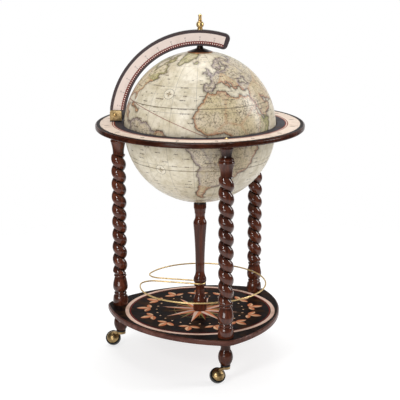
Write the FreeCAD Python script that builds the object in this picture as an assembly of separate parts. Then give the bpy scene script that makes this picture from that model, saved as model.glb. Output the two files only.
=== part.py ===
import FreeCAD, Part
import math
import os
from FreeCAD import Vector

# Floor globe bar, in millimetres. Z is up from the floor, the globe's axis is the Z axis,
# the first leg is on the -X side, and the lid's hinge stands near it on the ring.

# Globe
globe_radius = 200.0
shell_wall = 3.5
globe_lift = 2.0            # its middle above the ring's underside
part_line_rise = 5.0        # the globe parts this far above its middle
part_line_gap = 0.6
hoop_height = 12.0
hoop_width = 9.0

# Heights of the stand, from the floor up
caster_height = 47.0        # floor to the underside of a foot
foot_height = 62.0
board_thickness = 14.0
leg_length = 505.0
ring_thickness = 13.0
sheet_thickness = 0.4       # printed sheets on board, ring and meridian

# Shelf board, a three-cornered plate with bulged sides
leg_count = 3
leg_reach = 25.0            # globe's surface to a leg's axis
board_side_set = 12.0       # the middle of a side, drawn in from the circle of legs
board_side_radius = 355.0
board_corner_radius = 40.0
board_edge_round = 3.0
sheet_inset = 4.0

# Twist legs
leg_bulge_radius = 20.2
leg_notch_radius = 12.6
leg_base_height = 88.0      # turned part under the twist
leg_head_height = 82.0      # turned part above the twist
twist_turns = 9.5
twist_runout = 9.0
leg_turns = (72.0, 122.0, 151.0)   # of each leg about its own axis, in degrees

# Feet
foot_ball_radius = 19.3
foot_neck_radius = 13.5
foot_top_radius = 18.5

# Column
column_radius = 18.2
column_waist_radius = 12.2
column_collar_height = 4.5  # under the rail
column_seat_height = 8.0    # seat disc between column and bowl
column_seat_radius = 15.5

# Horizon ring
ring_width = 72.5           # of its flat top
ring_lid_gap = 3.0          # free space round the upper shell
ring_edge_round = 4.0

# Bottle rail
rail_wire_radius = 2.0
rail_height = 77.0          # above the board's sheet
rail_edge_set = 35.0        # from the middle of the board's side
rail_side_tighten = 28.0    # the side curve is this much tighter than the wide loop
rail_side_start = 100.0     # degrees from the open side where the curve tightens
rail_lobe_radius = 33.5
rail_slot_half = 14.0

# Inside the bowl
tray_drop = 70.0            # globe's middle to the top of the tray
tray_thickness = 6.0
bottle_count = 3
bottle_hole_radius = 44.0
bottle_web = 19.4           # wood between two bottle holes
glass_count = 6
glass_recess_radius = 34.0
glass_recess_depth = 3.0
glass_margin = 11.4         # wood outside the glass recesses
floor_margin = 20.9         # floor outside the bottle holes above it

# Meridian and hinge
meridian_draw_in = 2.0      # its inner radius under the globe's, as its centre is higher
meridian_width = 41.5
meridian_thickness = 10.0
meridian_lift = 4.7         # its centre above the ring's sheet
meridian_end_angle = 110.0  # degrees from the hinge side
meridian_outer_corner = 14.0
meridian_inner_corner = 12.0
hinge_turn = 8.5            # degrees round the ring from the first leg
hinge_foot_radius = 13.0    # the meridian's foot, round about the hinge pin
hinge_foot_trim = 2.1       # the foot's outer side, inward from the meridian's outer edge
hinge_foot_gap = 2.5        # globe's surface to the foot's lower corner
hinge_pad_thickness = 3.0
bracket_length = 31.0
bracket_height = 27.0
bracket_set = 2.0           # its middle, inward from the pin
bracket_plate = 2.0
bracket_corner = 5.0
hinge_pin_radius = 3.0
hinge_head_radius = 5.5
hinge_head_height = 2.6
bracket_screw_offset = 11.8

# Pole
pole_pin_radius = 4.0
pole_cap_radius = 33.0
pole_cap_rim = 1.2
pole_hub_radius = 7.5
finial_radius = 9.9
finial_height = 41.5

# Casters
caster_ball_radius = 21.0
caster_trail = 23.0
caster_tilt = 40.0          # axle above level, in degrees
caster_headings = (178.0, 219.0, 185.0)
caster_hood_wall = 2.0
caster_hood_radius = 17.4
caster_hood_height = 12.0
caster_hub_radius = 14.0
caster_stem_radius = 4.0
caster_collar_radius = 12.5
caster_collar_height = 6.0
caster_socket_wall = 2.0
caster_socket_depth = 28.0
caster_flange_radius = 13.0
caster_flange_height = 4.0
axle_radius = 2.5
axle_head_radius = 4.5
axle_head_height = 1.8

# Screws and studs
stud_radius = 4.0
stud_depth_leg = 40.0
stud_depth_foot = 22.0
ring_screw_radius = 2.5
ring_screw_depth = 40.0
ring_screw_head = 5.5
ring_screw_head_height = 3.0
small_screw_radius = 1.75
small_screw_head = 2.9
small_screw_depth = 9.0
large_screw_radius = 5.0
large_screw_depth = 50.0
large_washer_radius = 16.0
washer_thickness = 2.0
pole_washer_radius = 12.0
nut_flats = 13.0
nut_height = 6.0

# Fits
seat_gap = 0.2              # between parts that are glued or clamped
hole_gap = 0.1              # round screws, studs and pins that stay put
running_gap = 0.06          # round pins that turn
swing_gap = 0.3             # beside parts that move past each other

# Places that follow from the sizes above
leg_circle = globe_radius + leg_reach
board_side_reach = leg_circle - board_side_set
rail_radius = board_side_reach - rail_edge_set
rail_side_radius = rail_radius - rail_side_tighten
ring_radius = globe_radius + ring_lid_gap + ring_width
bottle_circle = (bottle_hole_radius + bottle_web / 2) / math.sin(math.pi / bottle_count)
meridian_inner_radius = globe_radius - meridian_draw_in
meridian_outer_radius = meridian_inner_radius + meridian_width
hinge_reach = meridian_outer_radius - hinge_foot_trim - hinge_foot_radius

# Levels that follow from the sizes above
board_bottom = caster_height + foot_height
board_top = board_bottom + board_thickness
shelf_level = board_top + sheet_thickness
ring_bottom = shelf_level + leg_length
ring_top = ring_bottom + ring_thickness
ring_face = ring_top + sheet_thickness
globe_middle = ring_bottom + globe_lift
part_line = globe_middle + part_line_rise
shell_inner = globe_radius - shell_wall
column_length = globe_middle - globe_radius - column_seat_height - shelf_level
meridian_middle = ring_face + meridian_lift
meridian_top = meridian_middle + meridian_outer_radius
bracket_floor = ring_face + hinge_pad_thickness + bracket_plate
bracket_top = ring_face + hinge_pad_thickness + bracket_height
up = Vector(0, 0, 1)


def leg_azimuth(index):
    return 180.0 + index * 360.0 / leg_count


def polar(radius, azimuth, height=0.0):
    angle = math.radians(azimuth)
    return Vector(radius * math.cos(angle), radius * math.sin(angle), height)


# Edge from one point to the next of a half profile; a swell bends it away from the axis
def profile_edge(start, end, swell):
    a = Vector(start[0], 0, start[1])
    b = Vector(end[0], 0, end[1])
    if swell == 0:
        return Part.LineSegment(a, b).toShape()
    run = b - a
    side = Vector(run.z, 0, -run.x).normalize()
    if side.x < 0 or (side.x == 0 and side.z < 0):
        side = side * -1
    return Part.Arc(a, (a + b) * 0.5 + side * swell, b).toShape()


# Solid turned about the Z axis from (radius, height, swell) points
def turned(points):
    edges = []
    for start, end in zip(points, points[1:]):
        edges.append(profile_edge(start, end, end[2] if len(end) > 2 else 0))
    if points[0][:2] != points[-1][:2]:
        edges.append(profile_edge(points[-1], points[0], 0))
    return Part.Face(Part.Wire(edges)).revolve(Vector(0, 0, 0), up, 360)


def rod(radius, low, high, x=0.0, y=0.0):
    return Part.makeCylinder(radius, high - low, Vector(x, y, low))


def cut(shape, *tools):
    for tool in tools:
        shape = shape.cut(tool)
    return shape


def joined(shapes):
    return shapes[0].multiFuse(shapes[1:]).removeSplitter()


def at_leg(shape, index):
    moved = shape.copy()
    moved.translate(polar(leg_circle, leg_azimuth(index)))
    return moved


# Turns a part of the hinge or the meridian from the -X side to its place round the ring
def at_hinge(shape):
    moved = shape.copy()
    moved.rotate(Vector(0, 0, 0), up, hinge_turn)
    return moved


# Height of a sphere's surface above its middle, at a given distance from the axis
def rise(sphere_radius, distance):
    return math.sqrt(sphere_radius ** 2 - distance ** 2)


# Swell of the half profile of a round cap, from its crown to its rim
def cap_swell(rim_radius, height):
    ball = (rim_radius ** 2 + height ** 2) / (2 * height)
    return ball - rise(ball, math.hypot(rim_radius, height) / 2)


# Arc about the globe's middle between two half-profile points, both at the given radius
def globe_arc(sphere_radius, first, last):
    a = math.atan2(first[1] - globe_middle, first[0])
    b = math.atan2(last[1] - globe_middle, last[0])
    half = polar(sphere_radius, math.degrees((a + b) / 2))
    middle = Vector(half.x, 0, globe_middle + half.y)
    return Part.Arc(Vector(first[0], 0, first[1]), middle, Vector(last[0], 0, last[1])).toShape()


# Half of the globe's shell from a level to its pole, with a hole there; side is 1 above, -1 below
def half_shell(level, hole, side):
    depth = level - globe_middle
    outer_rim = (rise(globe_radius, depth), level)
    inner_rim = (rise(shell_inner, depth), level)
    outer_pole = (hole, globe_middle + side * rise(globe_radius, hole))
    inner_pole = (hole, globe_middle + side * rise(shell_inner, hole))
    edges = [
        globe_arc(globe_radius, outer_rim, outer_pole),
        profile_edge(outer_pole, inner_pole, 0),
        globe_arc(shell_inner, inner_pole, inner_rim),
        profile_edge(inner_rim, outer_rim, 0),
    ]
    return Part.Face(Part.Wire(edges)).revolve(Vector(0, 0, 0), up, 360)


# Outline of the shelf board, drawn in from its edge by inset
def board_outline(inset, level):
    centre_reach = board_side_radius - board_side_reach
    side_radius = board_side_radius - inset
    corner_radius = board_corner_radius - inset
    half_side = math.pi / leg_count
    back = centre_reach * math.cos(half_side)
    across = centre_reach * math.sin(half_side)
    reach = math.sqrt((board_side_radius - board_corner_radius) ** 2 - across ** 2) - back
    edges = []
    for index in range(leg_count):
        corner = polar(reach, leg_azimuth(index), level)
        following = polar(reach, leg_azimuth(index + 1), level)
        before = polar(-centre_reach, leg_azimuth(index - 0.5), level)
        after = polar(-centre_reach, leg_azimuth(index + 0.5), level)
        start = corner + (corner - before).normalize() * corner_radius
        tip = polar(reach + corner_radius, leg_azimuth(index), level)
        end = corner + (corner - after).normalize() * corner_radius
        middle = polar(side_radius - centre_reach, leg_azimuth(index + 0.5), level)
        next_start = following + (following - after).normalize() * corner_radius
        edges.append(Part.Arc(start, tip, end).toShape())
        edges.append(Part.Arc(end, middle, next_start).toShape())
    return Part.Wire(edges)


def plate_from(wire, thickness):
    return Part.Face(wire).extrude(Vector(0, 0, thickness))


def shelf_board():
    plate = plate_from(board_outline(0.0, board_bottom), board_thickness)
    rims = [e for e in plate.Edges if e.BoundBox.ZLength < board_thickness / 2]
    plate = plate.makeFillet(board_edge_round, rims)
    for index in range(leg_count):
        plate = plate.cut(at_leg(rod(stud_radius + hole_gap, board_bottom - 1, board_top + 1), index))
    return plate.cut(rod(large_screw_radius + hole_gap, board_bottom - 1, board_top + 1))


def shelf_sheet():
    sheet = plate_from(board_outline(sheet_inset, board_top), sheet_thickness)
    for index in range(leg_count):
        sheet = sheet.cut(at_leg(rod(stud_radius + hole_gap, board_top - 1, shelf_level + 1), index))
    return sheet.cut(rod(large_screw_radius + hole_gap, board_top - 1, shelf_level + 1))


# Distance of the twist's surface from the leg's axis; its rope-like strand is one round arc per turn
def strand_radius(turn):
    pitch = (leg_length - leg_base_height - leg_head_height) / twist_turns
    depth = leg_bulge_radius - leg_notch_radius
    strand = (pitch * pitch / 4 + depth * depth) / (2 * depth)
    along = pitch * (turn - 0.5)
    return leg_bulge_radius - strand + math.sqrt(strand * strand - along * along)


# Closed section across the twist, with its notch on +X
def twist_section(level):
    halves = []
    steps = 10
    for start in (0.0, 0.5):
        points = []
        for step in range(steps + 1):
            turn = start + 0.5 * step / steps
            points.append(polar(strand_radius(turn), 360.0 * turn, level))
        curve = Part.BSplineCurve()
        curve.interpolate(points)
        halves.append(curve.toShape())
    return Part.Wire(halves)


# One full turn of the left-handed twist, swept straight up while a helix turns it
def twist_turn(level, pitch):
    path = Part.Wire([Part.LineSegment(Vector(0, 0, level), Vector(0, 0, level + pitch)).toShape()])
    helix = Part.makeHelix(pitch, pitch, 2 * leg_bulge_radius, 0, True)
    helix.translate(Vector(0, 0, level))
    sweep = Part.BRepOffsetAPI.MakePipeShell(path)
    sweep.setAuxiliarySpine(Part.Wire(helix.Edges), True, 0)
    sweep.add(twist_section(level))
    sweep.build()
    sweep.makeSolid()
    return sweep.shape()


# Barley-twist leg, standing on the shelf at the axis
def twist_leg():
    bulge = leg_bulge_radius
    low = shelf_level
    twist_low = low + leg_base_height
    twist_high = ring_bottom - leg_head_height
    top = ring_bottom
    height = leg_base_height
    base = turned([
        (0, low),
        (1.01 * bulge, low),
        (1.01 * bulge, low + 0.034 * height),
        (0.94 * bulge, low + 0.284 * height, 0.046 * bulge),
        (0.79 * bulge, low + 0.330 * height, -0.031 * bulge),
        (0.79 * bulge, low + 0.398 * height, 0.070 * bulge),
        (0.75 * bulge, low + 0.415 * height),
        (0.75 * bulge, low + 0.438 * height),
        (0.89 * bulge, low + 0.460 * height),
        (1.00 * bulge, low + 0.648 * height, 0.070 * bulge),
        (0.75 * bulge, low + 0.898 * height, 0.021 * bulge),
        (0.82 * bulge, low + 0.909 * height),
        (0.82 * bulge, low + 0.966 * height, 0.046 * bulge),
        (0.75 * bulge, low + 0.977 * height),
        (0.75 * bulge, twist_low),
        (0, twist_low),
    ])
    height = leg_head_height
    head = turned([
        (0, twist_high),
        (0.75 * bulge, twist_high),
        (0.76 * bulge, top - 0.900 * height),
        (0.88 * bulge, top - 0.720 * height, -0.015 * bulge),
        (1.00 * bulge, top - 0.605 * height),
        (0.97 * bulge, top - 0.515 * height, 0.070 * bulge),
        (0.91 * bulge, top - 0.505 * height),
        (0.77 * bulge, top - 0.420 * height, 0.095 * bulge),
        (0.66 * bulge, top - 0.390 * height),
        (0.65 * bulge, top - 0.350 * height),
        (0.86 * bulge, top - 0.130 * height, -0.020 * bulge),
        (0.91 * bulge, top),
        (0, top),
    ])
    envelope = turned([
        (0, twist_low),
        (0.77 * bulge, twist_low),
        (1.02 * bulge, twist_low + twist_runout, 0.062 * bulge),
        (1.02 * bulge, twist_high - twist_runout),
        (0.77 * bulge, twist_high, 0.062 * bulge),
        (0, twist_high),
    ])
    pitch = (twist_high - twist_low) / twist_turns
    turn = twist_turn(twist_low, pitch)
    pieces = [base, head]
    for index in range(math.ceil(twist_turns)):
        strand = turn.copy()
        strand.translate(Vector(0, 0, index * pitch))
        if index == 0 or twist_low + (index + 1) * pitch > twist_high - twist_runout:
            strand = strand.common(envelope)
        pieces.append(strand)
    leg = pieces[0].multiFuse(pieces[1:])
    stud_hole = rod(stud_radius + hole_gap, low - 1, low + stud_depth_leg + 1)
    screw_hole = rod(ring_screw_radius + hole_gap, top - ring_screw_depth - 1, top + 1)
    return cut(leg, stud_hole, screw_hole)


def turned_foot():
    low = caster_height
    top = board_bottom
    foot = turned([
        (0, low),
        (0.6 * foot_ball_radius, low),
        (foot_neck_radius, low + 0.66 * foot_height, foot_ball_radius - 0.65 * foot_ball_radius),
        (0.96 * foot_neck_radius, low + 0.68 * foot_height),
        (0.96 * foot_neck_radius, low + 0.72 * foot_height),
        (foot_top_radius, low + 0.96 * foot_height, -0.12 * foot_top_radius),
        (foot_top_radius, top),
        (0, top),
    ])
    stud_hole = rod(stud_radius + hole_gap, top - stud_depth_foot - 1, top + 1)
    sleeve = caster_stem_radius + running_gap + caster_socket_wall
    socket_hole = rod(sleeve + hole_gap, low - 1, low + caster_socket_depth + 1)
    return cut(foot, stud_hole, socket_hole)


def leg_studs():
    low = board_bottom - stud_depth_foot
    high = shelf_level + stud_depth_leg
    return [at_leg(rod(stud_radius, low, high), index) for index in range(leg_count)]


def column():
    low = shelf_level
    top = low + column_length
    wire_low = low + rail_height - rail_wire_radius - seat_gap
    wire_high = low + rail_height + rail_wire_radius + seat_gap
    neck = rail_slot_half - rail_wire_radius - seat_gap
    full = column_radius
    post = turned([
        (0, low),
        (full, low),
        (full, low + 0.30 * rail_height, 0.02 * full),
        (0.93 * full, low + 0.45 * rail_height, 0.03 * full),
        (0.66 * full, low + 0.72 * rail_height, -0.08 * full),
        (0.68 * full, wire_low - 1.4 * column_collar_height, -0.02 * full),
        (0.86 * full, wire_low - column_collar_height),
        (0.86 * full, wire_low, 0.05 * full),
        (neck, wire_low),
        (neck, wire_high),
        (0.86 * full, wire_high),
        (0.96 * full, wire_high + 0.3 * full, 0.04 * full),
        (0.90 * full, wire_high + 0.75 * full, 0.03 * full),
        (column_waist_radius, wire_high + 1.8 * full, -0.06 * full),
        (0.98 * full, top - 3.2 * full, -0.08 * full),
        (0.90 * full, top - 2.6 * full, 0.05 * full),
        (0.78 * full, top - 2.35 * full),
        (0.80 * full, top - 1.43 * full, -0.07 * full),
        (0.93 * full, top - 0.66 * full, -0.03 * full),
        (0.93 * full, top),
        (0, top),
    ])
    screw_hole = rod(large_screw_radius + hole_gap, low - 1, low + large_screw_depth + 1)
    bowl_hole = rod(large_screw_radius + hole_gap, top - large_screw_depth - 1, top + 1)
    return cut(post, screw_hole, bowl_hole)


# Disc with a hollowed top that the bowl sits in
def bowl_seat():
    low = shelf_level + column_length
    ball = globe_radius + seat_gap
    hole = large_screw_radius + hole_gap
    outer = (column_seat_radius, globe_middle - rise(ball, column_seat_radius))
    inner = (hole, globe_middle - rise(ball, hole))
    edges = [
        profile_edge((hole, low), (column_seat_radius, low), 0),
        profile_edge((column_seat_radius, low), outer, 0),
        globe_arc(ball, outer, inner),
        profile_edge(inner, (hole, low), 0),
    ]
    return Part.Face(Part.Wire(edges)).revolve(Vector(0, 0, 0), up, 360)


# Screw with a six-sided head whose seat is at a level; way is 1 with the shank above the head
def hex_screw(radius, length, seat, flats, height, way):
    points = []
    for corner in range(7):
        points.append(polar(flats / math.sqrt(3), 60.0 * corner, seat))
    head = Part.Face(Part.makePolygon(points)).extrude(Vector(0, 0, -way * height))
    shank = Part.makeCylinder(radius, length, Vector(0, 0, seat), Vector(0, 0, way))
    return joined([head, shank])


def washer(outer, hole, low, high):
    return rod(outer, low, high).cut(rod(hole, low - 1, high + 1))


def column_washer():
    return washer(large_washer_radius, large_screw_radius + hole_gap, board_bottom - washer_thickness,
                  board_bottom)


def column_screw():
    seat = board_bottom - washer_thickness
    length = washer_thickness + board_thickness + sheet_thickness + large_screw_depth
    return hex_screw(large_screw_radius, length, seat, 3.2 * large_screw_radius, 1.2 * large_screw_radius, 1)


# Bowl washer, low enough that its rim just clears the round wall under it
def bowl_washer_level():
    return globe_middle - rise(shell_inner, large_washer_radius) + seat_gap


def bowl_washer():
    low = bowl_washer_level()
    return washer(large_washer_radius, large_screw_radius + hole_gap, low, low + washer_thickness)


def bowl_screw():
    seat = bowl_washer_level() + washer_thickness
    length = seat - (shelf_level + column_length) + large_screw_depth
    return hex_screw(large_screw_radius, length, seat, 3.2 * large_screw_radius, 1.2 * large_screw_radius, -1)


# Round wire bent about a point from one angle to another, at the rail's height
def bent_wire(centre, radius, first, last):
    start = centre + polar(radius, first)
    start.z = shelf_level + rail_height
    tangent = polar(1.0, first + 90.0)
    end_face = Part.Face(Part.Wire([Part.makeCircle(rail_wire_radius, start, tangent)]))
    return end_face.revolve(Vector(centre.x, centre.y, 0), up, last - first)


# One brass wire: wide loop, two hairpin lobes, and a slot that hooks round the column
def bottle_rail():
    level = shelf_level + rail_height
    side_centre = polar(rail_radius - rail_side_radius, rail_side_start)
    lobe_y = rail_slot_half + rail_lobe_radius
    away = rail_side_radius - rail_lobe_radius
    lobe_x = side_centre.x - math.sqrt(away ** 2 - (lobe_y - side_centre.y) ** 2)
    lobe_centre = Vector(lobe_x, lobe_y, 0)
    meet = math.degrees(math.atan2(lobe_y - side_centre.y, lobe_x - side_centre.x))
    half = [
        bent_wire(Vector(0, 0, 0), rail_radius, 0.0, rail_side_start),
        bent_wire(side_centre, rail_side_radius, rail_side_start, meet),
        bent_wire(lobe_centre, rail_lobe_radius, meet, 270.0),
        Part.makeCylinder(rail_wire_radius, -lobe_x, Vector(lobe_x, rail_slot_half, level), Vector(1, 0, 0)),
        bent_wire(Vector(0, 0, 0), rail_slot_half, 0.0, 90.0),
    ]
    other = [piece.mirror(Vector(0, 0, 0), Vector(0, 1, 0)) for piece in half]
    return joined(half + other)


# Countersunk screw pointing down from a level
def flush_screw(radius, head, level, depth):
    return turned([
        (0, level),
        (head, level),
        (radius, level - (head - radius)),
        (radius, level - depth),
        (0, level - depth - radius),
    ])


def horizon_ring():
    low_bore = globe_radius + seat_gap
    lid_bore = globe_radius + ring_lid_gap
    ring = turned([
        (low_bore, ring_bottom),
        (ring_radius - ring_edge_round, ring_bottom),
        (ring_radius, ring_bottom + ring_edge_round, 0.29 * ring_edge_round),
        (ring_radius, ring_top - ring_edge_round),
        (ring_radius - ring_edge_round, ring_top, 0.29 * ring_edge_round),
        (lid_bore, ring_top),
        (lid_bore, part_line),
        (low_bore, part_line),
        (low_bore, ring_bottom),
    ])
    holes = [at_leg(rod(ring_screw_radius + hole_gap, ring_bottom - 1, ring_top + 1), i) for i in range(leg_count)]
    for x in bracket_screw_places():
        holes.append(at_hinge(rod(small_screw_radius + hole_gap, ring_top - small_screw_depth, ring_top + 1, x)))
    return cut(ring, *holes)


def horizon_sheet():
    sheet = rod(ring_radius - ring_edge_round, ring_top, ring_face)
    sheet = sheet.cut(rod(globe_radius + ring_lid_gap, ring_top - 1, ring_face + 1))
    for index in range(leg_count):
        sheet = sheet.cut(at_leg(rod(ring_screw_radius + hole_gap, ring_top - 1, ring_face + 1), index))
    for x in bracket_screw_places():
        sheet = sheet.cut(at_hinge(rod(small_screw_radius + hole_gap, ring_top - 1, ring_face + 1, x)))
    return sheet


# Domed screws from the ring into the legs
def ring_screws():
    screw = turned([
        (0, ring_face + ring_screw_head_height),
        (ring_screw_head, ring_face, cap_swell(ring_screw_head, ring_screw_head_height)),
        (ring_screw_radius, ring_face),
        (ring_screw_radius, ring_bottom - ring_screw_depth + ring_screw_radius),
        (0, ring_bottom - ring_screw_depth),
    ])
    return [at_leg(screw, index) for index in range(leg_count)]


def lower_bowl():
    return half_shell(part_line, large_screw_radius + hole_gap, -1)


def upper_shell():
    return half_shell(part_line + part_line_gap, pole_pin_radius + 4 * running_gap, 1)


# Hoop glued inside the edge of a shell, between two levels
def rim_hoop(low, high):
    inner = rise(shell_inner, high - globe_middle) - hoop_width
    return turned([
        (inner, low),
        (rise(shell_inner, low - globe_middle) - seat_gap, low),
        (rise(shell_inner, high - globe_middle) - seat_gap, high),
        (inner, high),
        (inner, low),
    ])


def bowl_hoop():
    return rim_hoop(part_line - hoop_height, part_line)


def lid_hoop():
    low = part_line + part_line_gap
    return rim_hoop(low, low + hoop_height)


# Round plate that rests on the bowl's wall, with its top a given drop below the globe's middle
def bowl_plate(drop):
    top = globe_middle - drop
    low = top - tray_thickness
    return turned([
        (0, low),
        (rise(shell_inner, drop + tray_thickness) - seat_gap, low),
        (rise(shell_inner, drop) - seat_gap, top),
        (0, top),
    ])


def bar_tray():
    tray = bowl_plate(tray_drop)
    top = globe_middle - tray_drop
    glass_circle = rise(shell_inner, tray_drop) - seat_gap - glass_margin - glass_recess_radius
    for index in range(bottle_count):
        place = polar(bottle_circle, 90.0 + index * 360.0 / bottle_count)
        tray = tray.cut(rod(bottle_hole_radius, top - tray_thickness - 1, top + 1, place.x, place.y))
    for index in range(glass_count):
        place = polar(glass_circle, index * 360.0 / glass_count)
        tray = tray.cut(rod(glass_recess_radius, top - glass_recess_depth, top + 1, place.x, place.y))
    return tray


# The floor lies where the bowl is just wide enough for it to reach past the bottles
def bottle_floor():
    return bowl_plate(rise(shell_inner, bottle_circle + bottle_hole_radius + floor_margin))


# Height of the hinge pin: the meridian's rounded foot just clears the bracket's plate
def hinge_level():
    return bracket_floor + swing_gap + hinge_foot_radius


# Half outline of the meridian in the XZ plane, foot round the hinge pin included
def meridian_outline(inset, foot_level):
    outer = meridian_outer_radius - inset
    inner = meridian_inner_radius + inset

    def at(radius, angle):
        place = polar(radius, 180.0 - angle)
        return Vector(place.x, 0, meridian_middle + place.y)

    end = meridian_end_angle - math.degrees(inset / outer)
    if foot_level is None:
        pin = Vector(-hinge_reach, 0, hinge_level())
        side = hinge_reach + hinge_foot_radius
        outer_low = Vector(-side, 0, meridian_middle + rise(outer, side))
        beside = Vector(-side, 0, pin.z)
        bend = pin + Vector(-math.sqrt(0.5), 0, -math.sqrt(0.5)) * hinge_foot_radius
        under = pin + Vector(0, 0, -hinge_foot_radius)
        corner = Vector(-globe_radius - hinge_foot_gap, 0, under.z)
        inner_low = Vector(-rise(inner, bracket_top - meridian_middle), 0, bracket_top)
        foot = [
            Part.LineSegment(outer_low, beside).toShape(),
            Part.Arc(beside, bend, under).toShape(),
            Part.LineSegment(under, corner).toShape(),
            Part.LineSegment(corner, inner_low).toShape(),
        ]
    else:
        outer_low = Vector(-rise(outer, foot_level - meridian_middle), 0, foot_level)
        inner_low = Vector(-rise(inner, foot_level - meridian_middle), 0, foot_level)
        foot = [Part.LineSegment(outer_low, inner_low).toShape()]
    outer_edge = Part.Arc(at(outer, end), at(outer, end / 2), outer_low).toShape()
    inner_edge = Part.Arc(inner_low, at(inner, end / 2), at(inner, end)).toShape()
    tip = Part.LineSegment(at(inner, end), at(outer, end)).toShape()
    return Part.Wire([outer_edge] + foot + [inner_edge, tip])


# Plate of the meridian's outline between two places along Y, with its free corners rounded
def meridian_plate(inset, foot_level, near, far):
    face = Part.Face(meridian_outline(inset, foot_level))
    plate = face.extrude(Vector(0, far - near, 0))
    plate.translate(Vector(0, near, 0))
    middle = Vector(0, 0, meridian_middle)
    corners = ((meridian_outer_radius - inset, meridian_outer_corner),
               (meridian_inner_radius + inset, meridian_inner_corner))
    for reach, corner in corners:
        for edge in plate.Edges:
            place = edge.CenterOfMass
            straight = edge.BoundBox.XLength + edge.BoundBox.ZLength < 0.01
            flat = Vector(place.x, 0, place.z)
            if straight and place.x > 0 and abs((flat - middle).Length - reach) < 1.0:
                plate = plate.makeFillet(corner, [edge])
                break
    return plate


def meridian_arc():
    half = meridian_thickness / 2
    plate = meridian_plate(0.0, None, -half, half)
    pin_hole = rod(pole_pin_radius + hole_gap, meridian_middle, meridian_top + 1)
    hinge_hole = Part.makeCylinder(hinge_pin_radius + running_gap, meridian_thickness + 2,
                                   Vector(-hinge_reach, -half - 1, hinge_level()), Vector(0, 1, 0))
    return at_hinge(cut(plate, pin_hole, hinge_hole))


# Printed sheet on one face of the meridian, from the bracket up; side is -1 in front, 1 behind
def meridian_sheet(side):
    half = meridian_thickness / 2
    near = half if side > 0 else -half - sheet_thickness
    low = bracket_top + 1
    return at_hinge(meridian_plate(1.0, low, near, near + sheet_thickness))


def bracket_screw_places():
    middle = bracket_set - hinge_reach
    return (middle - bracket_screw_offset, middle + bracket_screw_offset)


def bracket_inside():
    return meridian_thickness / 2 + sheet_thickness + swing_gap


# Block between two levels, centred on the bracket along X and on the axis along Y
def hinge_block(length, width, low, high):
    corner = Vector(bracket_set - hinge_reach - length / 2, -width / 2, low)
    return Part.makeBox(length, width, high - low, corner)


def hinge_pad():
    width = 2 * (bracket_inside() + bracket_plate)
    pad = hinge_block(bracket_length, width, ring_face, ring_face + hinge_pad_thickness)
    for x in bracket_screw_places():
        pad = pad.cut(rod(small_screw_radius + hole_gap, ring_face - 1, bracket_floor, x))
    return at_hinge(pad)


# Clevis bent from strap: a floor plate and two cheeks
def hinge_bracket():
    low = ring_face + hinge_pad_thickness
    high = bracket_top
    inside = 2 * bracket_inside()
    strap = hinge_block(bracket_length, inside + 2 * bracket_plate, low, high)
    tops = []
    for edge in strap.Edges:
        if edge.BoundBox.YLength > inside and edge.CenterOfMass.z > high - 0.01:
            tops.append(edge)
    strap = strap.makeFillet(bracket_corner, tops)
    strap = strap.cut(hinge_block(bracket_length + 2, inside, bracket_floor, high + 1))
    bore = Part.makeCylinder(hinge_pin_radius + hole_gap, 2 * inside, Vector(-hinge_reach, -inside, hinge_level()),
                             Vector(0, 1, 0))
    strap = strap.cut(bore)
    for x in bracket_screw_places():
        hole = flush_screw(small_screw_radius + hole_gap, small_screw_head + hole_gap, bracket_floor,
                           2 * bracket_plate)
        hole.translate(Vector(x, 0, 0))
        strap = strap.cut(hole)
    return at_hinge(strap)


def bracket_screws():
    screws = []
    depth = bracket_floor - ring_top + small_screw_depth - 2 * small_screw_radius
    for x in bracket_screw_places():
        screw = flush_screw(small_screw_radius, small_screw_head, bracket_floor - hole_gap, depth)
        screw.translate(Vector(x, 0, 0))
        screws.append(at_hinge(screw))
    return screws


# Pin with a domed head outside each cheek
def hinge_pin():
    half = bracket_inside() + bracket_plate
    end = half + hinge_head_height
    swell = cap_swell(hinge_head_radius, hinge_head_height)
    pin = turned([
        (0, -end),
        (hinge_head_radius, -half, swell),
        (hinge_pin_radius, -half),
        (hinge_pin_radius, half),
        (hinge_head_radius, half),
        (0, end, swell),
    ])
    pin.rotate(Vector(0, 0, 0), Vector(1, 0, 0), 90)
    pin.translate(Vector(-hinge_reach, 0, hinge_level()))
    return at_hinge(pin)


def pole_washer_level():
    return globe_middle + rise(shell_inner, pole_washer_radius) - hole_gap


def pole_washer():
    high = pole_washer_level()
    return washer(pole_washer_radius, pole_pin_radius + running_gap, high - washer_thickness, high)


def pole_nut():
    high = pole_washer_level() - washer_thickness - swing_gap
    points = [polar(nut_flats / math.sqrt(3), 60.0 * corner, high) for corner in range(7)]
    nut = Part.Face(Part.makePolygon(points)).extrude(Vector(0, 0, -nut_height))
    return nut.cut(rod(pole_pin_radius + hole_gap, high - nut_height - 1, high + 1))


def pole_pin():
    low = pole_washer_level() - washer_thickness - swing_gap - nut_height
    return rod(pole_pin_radius, low - 2, meridian_top + 0.4 * finial_height)


# Low cone with a neck over the pole, turning with the shell under the meridian
def pole_cap():
    ball = globe_radius + seat_gap
    hole = pole_pin_radius + running_gap
    hub_top = meridian_middle + rise(meridian_inner_radius, pole_hub_radius) - swing_gap
    outer = (pole_cap_radius, globe_middle + rise(ball, pole_cap_radius))
    inner = (hole, globe_middle + rise(ball, hole))
    rim_top = (pole_cap_radius, outer[1] + pole_cap_rim)
    shoulder = (1.2 * pole_hub_radius, hub_top - 5 * pole_cap_rim)
    edges = [
        globe_arc(ball, inner, outer),
        profile_edge(outer, rim_top, 0),
        profile_edge(rim_top, shoulder, 0),
        profile_edge(shoulder, (pole_hub_radius, hub_top), 0),
        profile_edge((pole_hub_radius, hub_top), (hole, hub_top), 0),
        profile_edge((hole, hub_top), inner, 0),
    ]
    return Part.Face(Part.Wire(edges)).revolve(Vector(0, 0, 0), up, 360)


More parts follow.
